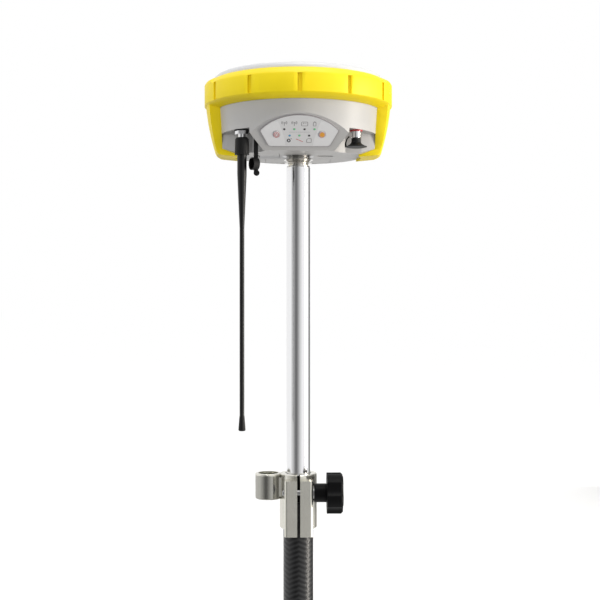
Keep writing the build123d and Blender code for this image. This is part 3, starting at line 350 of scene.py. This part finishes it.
def make_materials():
    return {
        "yellow": plain("yellow", srgb(238, 213, 22), 0.5, mottle=0.02, grain=1400, bump=0.03, wear=0.2,
                        specular=0.3),
        "grey": plain("grey", srgb(179, 178, 177), 0.42, mottle=0.02, grain=1600, bump=0.02, wear=0.15,
                      specular=0.4),
        "white": plain("white", srgb(202, 203, 204), 0.35, mottle=0.015, grain=1200, bump=0.01),
        "panel": plain("panel", srgb(210, 210, 211), 0.38, mottle=0.012, grain=2500, bump=0.006,
                       specular=0.4),
        "panel_light": plain("panel_light", srgb(220, 220, 221), 0.38, mottle=0.012, grain=2500,
                             bump=0.006, specular=0.4),
        "outline": plain("outline", srgb(146, 142, 144), 0.6, mottle=0.05),
        "icon": plain("icon", srgb(112, 110, 112), 0.6, mottle=0.05),
        "icon_dark": plain("icon_dark", srgb(52, 52, 58), 0.6, mottle=0.05),
        "red_print": plain("red_print", srgb(178, 62, 62), 0.5, mottle=0.04),
        "orange_print": plain("orange_print", srgb(214, 152, 58), 0.45, mottle=0.04),
        "lamp_green": lamp("lamp_green", srgb(104, 188, 130), 0.05),
        "lamp_blue": lamp("lamp_blue", srgb(70, 145, 185), 0.05),
        "lamp_off": plain("lamp_off", srgb(52, 50, 52), 0.3, mottle=0.03),
        "black": plain("black", srgb(6, 6, 7), 0.42, mottle=0.08, grain=1100, bump=0.015, specular=0.12),
        "rod": plain("rod", srgb(13, 13, 14), 0.36, mottle=0.03, grain=300, bump=0.004, specular=0.35),
        "black_rubber": plain("black_rubber", srgb(14, 14, 15), 0.55, mottle=0.1, grain=800, bump=0.03,
                              specular=0.3),
        "red": plain("red", srgb(176, 44, 44), 0.3, mottle=0.03),
        "cast": plain("cast", srgb(222, 220, 210), 0.22, metallic=0.85, mottle=0.04, grain=1300, bump=0.015),
        "cup": plain("cup", srgb(170, 169, 162), 0.16, metallic=0.95, mottle=0.03, grain=1300, bump=0.01),
        "steel": plain("steel", srgb(168, 168, 168), 0.28, metallic=1.0, mottle=0.05, grain=900, bump=0.01),
        "chrome": turned_metal("chrome", srgb(232, 232, 234), 0.12),
        "turned": turned_metal("turned", srgb(222, 220, 216), 0.18),
        "tube": polished_tube("tube", srgb(240, 240, 241), 0.14),
        "carbon": braided_carbon("carbon"),
        "glass": clear("glass", srgb(214, 226, 120)),
        "board": plain("board", srgb(28, 92, 58), 0.4, mottle=0.12, grain=400),
        "copper": plain("copper", srgb(205, 160, 90), 0.3, metallic=1.0),
        "nylon": plain("nylon", srgb(225, 222, 212), 0.5),
    }


# =====================================================================
# Pieces
# =====================================================================
def paint(material, *names):
    """Give CAD nodes their material."""
    for name in names:
        nodes[name].data.materials.clear()
        nodes[name].data.materials.append(material)
        for polygon in nodes[name].data.polygons:
            polygon.material_index = 0


def link(name, mesh, material, body):
    piece = bpy.data.objects.new(name, mesh)
    bpy.context.scene.collection.objects.link(piece)
    mesh.materials.append(material)
    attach(piece, body)
    return piece


def softened(node, material, body, width, angle=32.0, segments=3):
    """A copy of a CAD node with its edges rounded, standing for that node."""
    mesh = nodes[node].data.copy()
    mesh.materials.clear()
    bm = bmesh.new()
    bm.from_mesh(mesh)
    bmesh.ops.remove_doubles(bm, verts=bm.verts, dist=0.002 * MM)
    bmesh.ops.dissolve_limit(bm, angle_limit=math.radians(0.6), verts=bm.verts, edges=bm.edges)
    bm.to_mesh(mesh)
    bm.free()
    piece = link(node + "_soft", mesh, material, body)
    bevel = piece.modifiers.new("bevel", "BEVEL")
    bevel.width = width
    bevel.segments = segments
    bevel.limit_method = "ANGLE"
    bevel.angle_limit = math.radians(angle)
    bevel.harden_normals = True
    bevel.use_clamp_overlap = True
    for polygon in mesh.polygons:
        polygon.use_smooth = True
    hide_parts(node)
    return piece


def smooth_by_angle(piece, angle=30.0):
    """Smooth shading that keeps every edge sharper than angle."""
    mesh = piece.data
    for polygon in mesh.polygons:
        polygon.use_smooth = True
    mesh.set_sharp_from_angle(angle=math.radians(angle))


# ---- the keypad's own plane: x across, t up the slope, n out of it ----
SLOPE = math.atan2(33.0, 35.0)
FACET_FOOT = Vector((0, -50 * MM, BASE_Z))
FACET_UP = Vector((0, -math.cos(SLOPE), math.sin(SLOPE)))
FACET_OUT = Vector((0, -math.sin(SLOPE), -math.cos(SLOPE)))
PRINT_HEIGHT = 1.2             # the panel's face, above the housing's facet
PRINT_THICK = 0.06


def on_facet(x, t, n):
    return FACET_FOOT + Vector((x * MM, 0, 0)) + FACET_UP * (t * MM) + FACET_OUT * (n * MM)


def prism(bm, outline, low, high):
    """A closed slab over an outline of (x, t) points in millimetres on the keypad's plane."""
    under = [bm.verts.new(on_facet(x, t, low)) for x, t in outline]
    over = [bm.verts.new(on_facet(x, t, high)) for x, t in outline]
    count = len(outline)
    bm.faces.new(over)
    bm.faces.new(under[::-1])
    for i in range(count):
        j = (i + 1) % count
        bm.faces.new((under[i], under[j], over[j], over[i]))


def band(bm, outer, inner, low, high, closed=True):
    """A closed strip between two outlines with the same number of points."""
    count = len(outer)
    rings = [[bm.verts.new(on_facet(x, t, n)) for x, t in line]
             for line, n in ((outer, low), (outer, high), (inner, high), (inner, low))]
    for i in range(count if closed else count - 1):
        j = (i + 1) % count
        for k in range(4):
            a, b = rings[k], rings[(k + 1) % 4]
            bm.faces.new((a[i], a[j], b[j], b[i]))
    if not closed:
        bm.faces.new([ring[0] for ring in rings])
        bm.faces.new([ring[-1] for ring in rings][::-1])


def finish_print(name, bm, material, body="receiver"):
    bmesh.ops.recalc_face_normals(bm, faces=bm.faces)
    mesh = bpy.data.meshes.new(name)
    bm.to_mesh(mesh)
    bm.free()
    return link(name, mesh, material, body)


def arc_points(x, t, radius, start=0.0, end=360.0, steps=32, squeeze=1.0):
    """Points on an arc; angles in degrees from the x direction."""
    span = math.radians(end - start)
    full = abs(end - start) >= 360
    return [(x + radius * squeeze * math.cos(math.radians(start) + span * i / (steps if full else steps - 1)),
             t + radius * math.sin(math.radians(start) + span * i / (steps if full else steps - 1)))
            for i in range(steps)]


def rounded_outline(corners, radius, steps=5):
    """The outline through corners, each rounded to radius."""
    line = []
    count = len(corners)
    for i, corner in enumerate(corners):
        here = Vector(corner)
        before, after = Vector(corners[i - 1]), Vector(corners[(i + 1) % count])
        to_before, to_after = (before - here).normalized(), (after - here).normalized()
        reach = min(radius, (before - here).length * 0.45, (after - here).length * 0.45)
        start, end = here + to_before * reach, here + to_after * reach
        for k in range(steps + 1):
            u = k / steps
            point = start * (1 - u) ** 2 + here * 2 * u * (1 - u) + end * u ** 2
            line.append((point.x, point.y))
    return line


def grown(outline, amount):
    """The outline moved outwards by amount."""
    count = len(outline)
    line = []
    for i in range(count):
        before, after = Vector(outline[i - 1]), Vector(outline[(i + 1) % count])
        along = (after - before).normalized()
        here = Vector(outline[i]) + Vector((along.y, -along.x)) * amount
        line.append((here.x, here.y))
    return line


PANEL_T0, PANEL_T1, PANEL_TM = 6.2, 45.6, 26.1
PANEL_FOOT_X, PANEL_WIDE_X = 30.8, 39.4
CROWN_R = (PANEL_WIDE_X ** 2 + (PANEL_T1 - PANEL_TM) ** 2) / (2 * (PANEL_T1 - PANEL_TM))


def crown_t(x):
    """Height of the panel's arched upper edge at x."""
    return PANEL_T1 - CROWN_R + math.sqrt(CROWN_R ** 2 - x ** 2)


def panel_outline(inset=0.0, steps=28):
    """The panel's edge: flat foot, two flaring sides and an arched crown."""
    wide = PANEL_WIDE_X
    corners = [(-PANEL_FOOT_X, PANEL_T0), (PANEL_FOOT_X, PANEL_T0), (wide, PANEL_TM)]
    corners += [(wide * math.cos(math.pi * i / steps), crown_t(wide * math.cos(math.pi * i / steps)))
                for i in range(2, steps - 1)]
    corners += [(-wide, PANEL_TM)]
    return grown(rounded_outline(corners, 3.0), -inset)


def make_keypad(m):
    """Printed face of the keypad: outline, side fields, icons, lamps and the marks on both buttons."""
    top = PRINT_HEIGHT + PRINT_THICK
    # thin grey outline around the panel
    bm = bmesh.new()
    band(bm, panel_outline(-0.4), panel_outline(0.2), 0.0, top)
    finish_print("keypad_outline", bm, m["outline"])

    # lighter side fields, bounded inwards by a gentle curve
    for side in (-1, 1):
        inner = [(14.0 + 7.5 * u ** 1.5, PANEL_T0 + 1.0 + 31.0 * u) for u in (i / 12 for i in range(13))]
        rim = [(PANEL_FOOT_X - 2.6, PANEL_T0 + 1.0), (PANEL_FOOT_X - 0.2, PANEL_T0 + 2.6),
               (PANEL_WIDE_X - 1.5, PANEL_TM - 1.8), (PANEL_WIDE_X - 1.6, PANEL_TM + 0.2),
               (35.0, crown_t(35.0) - 1.2), (28.0, crown_t(28.0) - 1.0)]
        field = [(side * x, t) for x, t in inner[::-1] + rim]
        bm = bmesh.new()
        hole = arc_points(side * BUTTON_X, BUTTON_T, 4.6, steps=32, squeeze=0.82)
        fill_with_hole(bm, field, hole, PRINT_HEIGHT, top)
        finish_print("side_field_" + ("left" if side < 0 else "right"), bm, m["panel_light"])

    make_icons(m, top)
    make_lamps(m)
    make_button_marks(m)


BUTTON_X, BUTTON_T = 22.9, 21.6
UPPER_LAMPS, UPPER_T = (-15.1, -5.1, 5.1, 15.1), 28.0
LOWER_LAMPS, LOWER_T = (-9.75, 0.0, 9.75), 20.0
UPPER_ICON_T, LOWER_ICON_T = 34.6, 13.7


def fill_with_hole(bm, outline, hole, low, high):
    """A closed slab over an outline with one hole in it."""
    layer = bmesh.new()
    edges = []
    for line in (outline, hole):
        ring = [layer.verts.new((x, t, 0)) for x, t in line]
        edges += [layer.edges.new((ring[i], ring[(i + 1) % len(ring)])) for i in range(len(ring))]
    bmesh.ops.triangle_fill(layer, edges=edges, use_beauty=True)
    layer.verts.ensure_lookup_table()
    flat = [(v.co.x, v.co.y) for v in layer.verts]
    faces = [[v.index for v in f.verts] for f in layer.faces]
    border = [(e.verts[0].index, e.verts[1].index) for e in layer.edges if len(e.link_faces) == 1]
    layer.free()
    under = [bm.verts.new(on_facet(x, t, low)) for x, t in flat]
    over = [bm.verts.new(on_facet(x, t, high)) for x, t in flat]
    for face in faces:
        bm.faces.new([over[i] for i in face])
        bm.faces.new([under[i] for i in face[::-1]])
    for a, b in border:
        bm.faces.new((under[a], under[b], over[b], over[a]))


def stroke(bm, points, width, low, high):
    """An open printed line of even width."""
    left, right = [], []
    for i, point in enumerate(points):
        a, b = Vector(points[max(i - 1, 0)]), Vector(points[min(i + 1, len(points) - 1)])
        along = (b - a).normalized()
        across = Vector((-along.y, along.x)) * width / 2
        here = Vector(point)
        left.append(tuple(here + across))
        right.append(tuple(here - across))
    band(bm, left, right, low, high, closed=False)


def ring(bm, outline, width, low, high):
    """A closed printed line."""
    band(bm, grown(outline, width / 2), grown(outline, -width / 2), low, high)


def box_outline(x, t, width, height, radius=0.5):
    w, h = width / 2, height / 2
    return rounded_outline([(x - w, t - h), (x + w, t - h), (x + w, t + h), (x - w, t + h)], radius, 3)


def make_icons(m, top):
    low = PRINT_HEIGHT
    # two aerial symbols: a mast with waves on both sides
    bm = bmesh.new()
    for x in UPPER_LAMPS[:2]:
        stroke(bm, [(x, UPPER_ICON_T - 2.4), (x, UPPER_ICON_T + 1.0)], 0.5, low, top)
        prism(bm, arc_points(x, UPPER_ICON_T + 1.5, 0.6, steps=16), low, top)
        for radius in (1.6, 2.7):
            for start in (-42, 138):
                stroke(bm, arc_points(x, UPPER_ICON_T + 1.5, radius, start, start + 84, 10), 0.45, low, top)
    # charger and battery outlines
    x = UPPER_LAMPS[2]
    ring(bm, box_outline(x, UPPER_ICON_T, 6.2, 4.8, 0.8), 0.45, low, top)
    stroke(bm, [(x - 1.6, UPPER_ICON_T + 0.9), (x - 0.4, UPPER_ICON_T + 0.9)], 0.4, low, top)
    stroke(bm, [(x - 1.0, UPPER_ICON_T + 1.5), (x - 1.0, UPPER_ICON_T + 0.3)], 0.4, low, top)
    stroke(bm, [(x + 0.5, UPPER_ICON_T + 0.9), (x + 1.7, UPPER_ICON_T + 0.9)], 0.4, low, top)
    x = UPPER_LAMPS[3]
    ring(bm, box_outline(x, UPPER_ICON_T - 0.2, 2.6, 4.6, 0.4), 0.45, low, top)
    prism(bm, box_outline(x, UPPER_ICON_T + 2.6, 1.3, 0.6, 0.2), low, top)
    # card outline with a cut corner
    x = LOWER_LAMPS[2]
    card = rounded_outline([(x - 2.3, LOWER_ICON_T - 2.4), (x + 2.3, LOWER_ICON_T - 2.4),
                            (x + 2.3, LOWER_ICON_T + 2.4), (x - 1.2, LOWER_ICON_T + 2.4),
                            (x - 2.3, LOWER_ICON_T + 1.2)], 0.4, 3)
    ring(bm, card, 0.5, low, top)
    # fine line between the two rows
    stroke(bm, [(-10.5, 24.4), (10.5, 24.4)], 0.18, low, top)
    finish_print("icons_grey", bm, m["icon"])

    bm = bmesh.new()
    x = LOWER_LAMPS[0] - 0.9
    ring(bm, arc_points(x, LOWER_ICON_T, 1.75, steps=24, squeeze=0.8), 1.1, low, top)
    stroke(bm, arc_points(x + 0.4, LOWER_ICON_T + 0.3, 3.0, 20, 62, 8), 0.4, low, top)
    finish_print("icon_link", bm, m["icon_dark"])

    bm = bmesh.new()
    stroke(bm, [(-3.2, LOWER_ICON_T + 2.0), (3.6, LOWER_ICON_T - 1.4)], 0.65, low, top)
    finish_print("icon_slash", bm, m["red_print"])


def make_lamps(m):
    """The seven status lamps: shallow domes over the light pipes."""
    places = [(x, UPPER_T) for x in UPPER_LAMPS] + [(x, LOWER_T) for x in LOWER_LAMPS]
    looks = ("lamp_off", "lamp_green", "lamp_off", "lamp_green", "lamp_blue", "lamp_green", "lamp_off")
    for index, ((x, t), look) in enumerate(zip(places, looks)):
        bm = bmesh.new()
        rows = [(1.12, PRINT_HEIGHT - 0.1), (1.12, PRINT_HEIGHT + 0.12), (0.8, PRINT_HEIGHT + 0.3),
                (0.4, PRINT_HEIGHT + 0.38)]
        steps = 20
        rings = [[bm.verts.new(on_facet(px, pt, n)) for px, pt in arc_points(x, t, r, steps=steps)]
                 for r, n in rows]
        for a, b in zip(rings, rings[1:]):
            for i in range(steps):
                j = (i + 1) % steps
                bm.faces.new((a[i], a[j], b[j], b[i]))
        bm.faces.new(rings[0][::-1])
        bm.faces.new(rings[-1])
        smooth_by_angle(finish_print(f"lamp_{index + 1}", bm, m[look]), 50)


def make_button_marks(m):
    """The power sign, ringed in red, and the orange disc of the function key."""
    cap_top = 1.9
    low, high = cap_top - 0.02, cap_top + 0.05
    bm = bmesh.new()
    ring(bm, arc_points(-BUTTON_X, BUTTON_T, 3.3, steps=36, squeeze=0.8), 0.5, low, high)
    finish_print("power_ring", bm, m["red_print"], "power_key")
    bm = bmesh.new()
    stroke(bm, arc_points(-BUTTON_X, BUTTON_T - 0.2, 1.9, 125, 415, 24, squeeze=0.85), 0.55, low, high)
    stroke(bm, [(-BUTTON_X, BUTTON_T + 0.4), (-BUTTON_X, BUTTON_T + 2.3)], 0.55, low, high)
    finish_print("power_sign", bm, m["red_print"], "power_key")
    bm = bmesh.new()
    prism(bm, arc_points(BUTTON_X, BUTTON_T, 2.9, steps=36, squeeze=0.82), low, high)
    finish_print("function_disc", bm, m["orange_print"], "function_key")
    bm = bmesh.new()
    ring(bm, arc_points(BUTTON_X, BUTTON_T, 3.5, steps=36, squeeze=0.82), 0.35, low, high)
    finish_print("function_ring", bm, m["red_print"], "function_key")


def make_level_bubble(m):
    """The level's bubble and its centring ring, just under the vial's top."""
    centre = (vial_lo + vial_hi) / 2
    top = vial_hi.z + 0.1 * MM
    bm = bmesh.new()
    steps = 40
    for inner, outer in ((3.1, 3.4), (8.9, 9.4)):
        rings = [[bm.verts.new((centre.x + r * MM * math.cos(2 * math.pi * i / steps),
                                centre.y + r * MM * math.sin(2 * math.pi * i / steps), z))
                  for i in range(steps)]
                 for r, z in ((outer, top), (outer, top + 0.1 * MM), (inner, top + 0.1 * MM), (inner, top))]
        for k in range(4):
            a, b = rings[k], rings[(k + 1) % 4]
            for i in range(steps):
                j = (i + 1) % steps
                bm.faces.new((a[i], a[j], b[j], b[i]))
    finish_print("level_marks", bm, m["lamp_off"], "lower_pole")
    bm = bmesh.new()
    flattened = Matrix.Diagonal((1, 1, 0.16, 1))
    place = Matrix.Translation((centre.x + 0.6 * MM, centre.y - 0.5 * MM, top)) @ flattened
    bmesh.ops.create_uvsphere(bm, u_segments=32, v_segments=16, radius=2.6 * MM, matrix=place)
    smooth_by_angle(finish_print("level_bubble", bm, m["white"], "lower_pole"), 60)


def main():
    make_camera()
    make_surroundings()
    m = make_materials()

    paint(m["grey"], "lower_housing", "battery_door", "card_door")
    paint(m["white"], "radome")
    paint(m["panel"], "keypad_panel", "power_button", "function_button")
    paint(m["lamp_off"], "status_leds")
    paint(m["carbon"], "outer_tube")
    paint(m["tube"], "inner_tube")
    paint(m["turned"], "pole_adapter", "stud_washer", "end_coupling", "ground_plate")
    paint(m["cast"], "clamp_body", "level_ring")
    paint(m["cup"], "level_housing")
    paint(m["steel"], "clamp_nut", "clamp_washer", "clamp_screw", "level_screws", "housing_screws",
          "threaded_insert", "insert_screws", "battery_hinge_pin", "card_hinge_pin", "card_holder",
          "shield_cans", "radio_modem", "dome_switches")
    paint(m["chrome"], "whip_jack", "port_shell")
    paint(m["red"], "port_ring")
    paint(m["black"], "clamp_knob", "clamp_liner", "battery_pack", "memory_card")
    paint(m["rod"], "whip_rod")
    paint(m["black_rubber"], "housing_seal", "port_cap", "cap_tether", "hanging_cap", "whip_seal",
          "whip_grip", "whip_tip")
    paint(m["glass"], "level_vial")
    paint(m["board"], "main_board", "keypad_board")
    paint(m["copper"], "battery_contacts", "antenna_spacers", "antenna_patch", "port_pins")
    paint(m["nylon"], "guide_bush", "antenna_substrate")

    softened("bumper", m["yellow"], "receiver", 0.9 * MM)
    for name in nodes:
        smooth_by_angle(nodes[name])
    make_keypad(m)
    make_level_bubble(m)


main()
